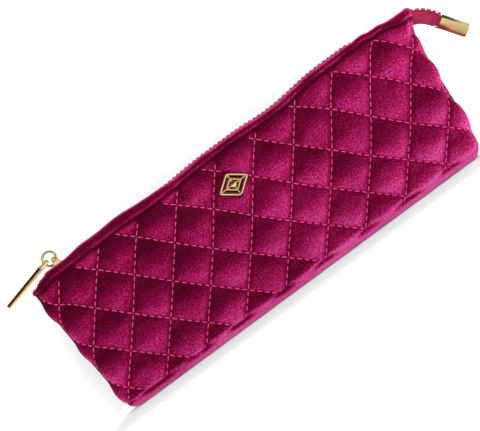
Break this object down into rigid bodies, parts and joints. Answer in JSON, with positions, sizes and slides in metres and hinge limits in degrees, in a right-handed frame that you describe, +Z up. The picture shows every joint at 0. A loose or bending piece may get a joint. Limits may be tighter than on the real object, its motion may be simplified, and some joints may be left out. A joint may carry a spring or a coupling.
{
  "type": "makeup bag",
  "caption": "Slim quilted velvet zip pouch for brushes, with a flat base, a slider with ring and pull bar, a plain lozenge emblem and a metal-capped zip tail.",
  "frame": {"origin": "centre of the flat base", "axes": "+X runs along the zip towards its tail, the front face with the emblem faces -Y, +Z points up to the zip"},
  "size_m": [0.2709, 0.0264, 0.0901],
  "materials": {
    "fuchsia_velvet": "crushed nap with a bright sheen at grazing angles, quilted on the bias",
    "batting": "soft polyester wadding",
    "lining": "plain woven satin",
    "thread": "twisted polyester thread",
    "zip_tape": "herringbone woven polyester tape",
    "zip_teeth": "dyed nylon",
    "pale_gold": "polished light-gold plating",
    "nickel_steel": "plain nickel-plated sheet"
  },
  "bodies": {
    "base": {"base_velvet": "fuchsia_velvet", "base_batting": "batting", "base_lining": "lining", "zip_bottom_stop": "nickel_steel"},
    "front_face": {"front_velvet": "fuchsia_velvet", "front_batting": "batting", "front_lining": "lining", "front_topstitch": "thread", "front_zip_tape": "zip_tape", "front_zip_teeth": "zip_teeth", "front_top_stop": "pale_gold", "emblem": "pale_gold", "emblem_backing": "nickel_steel"},
    "back_face": {"back_velvet": "fuchsia_velvet", "back_batting": "batting", "back_lining": "lining", "back_topstitch": "thread", "back_zip_tape": "zip_tape", "back_zip_teeth": "zip_teeth", "back_top_stop": "pale_gold"},
    "slider": {"slider_body": "pale_gold", "slider_pin": "pale_gold"},
    "ring": {"pull_ring": "pale_gold"},
    "bar": {"pull_bar": "pale_gold", "bar_pin": "pale_gold"},
    "tail": {"tail_tape": "zip_tape", "tail_teeth": "zip_teeth", "end_cap": "pale_gold"}
  },
  "joints": [
    {"name": "slider_slide", "type": "slide", "parent": "base", "child": "slider", "axis": [1, 0, 0], "range_m": [0, 0.2]},
    {"name": "front_mouth", "type": "hinge", "parent": "base", "child": "front_face", "pos_m": [0, -0.0125, 0.004], "axis": [1, 0, 0], "range_deg": [0, 20]},
    {"name": "back_mouth", "type": "hinge", "parent": "base", "child": "back_face", "pos_m": [0, 0.0125, 0.004], "axis": [-1, 0, 0], "range_deg": [0, 20]},
    {"name": "ring_swing", "type": "hinge", "parent": "slider", "child": "ring", "pos_m": [-0.0958, 0, 0.08464], "axis": [0, 1, 0], "range_deg": [-3, 112]},
    {"name": "bar_swing", "type": "hinge", "parent": "ring", "child": "bar", "pos_m": [-0.09977, 0, 0.08552], "axis": [0, 1, 0], "range_deg": [-5, 78]},
    {"name": "tail_flex", "type": "hinge", "parent": "base", "child": "tail", "pos_m": [0.1246, 0, 0.0732], "axis": [0, 1, 0], "range_deg": [-20, 25], "stiffness_Nm_per_rad": 0.02}
  ],
  "couplings": [
    {"joint": "front_mouth", "follows": "slider_slide", "rad_per_m": 1.74},
    {"joint": "back_mouth", "follows": "slider_slide", "rad_per_m": 1.74}
  ]
}
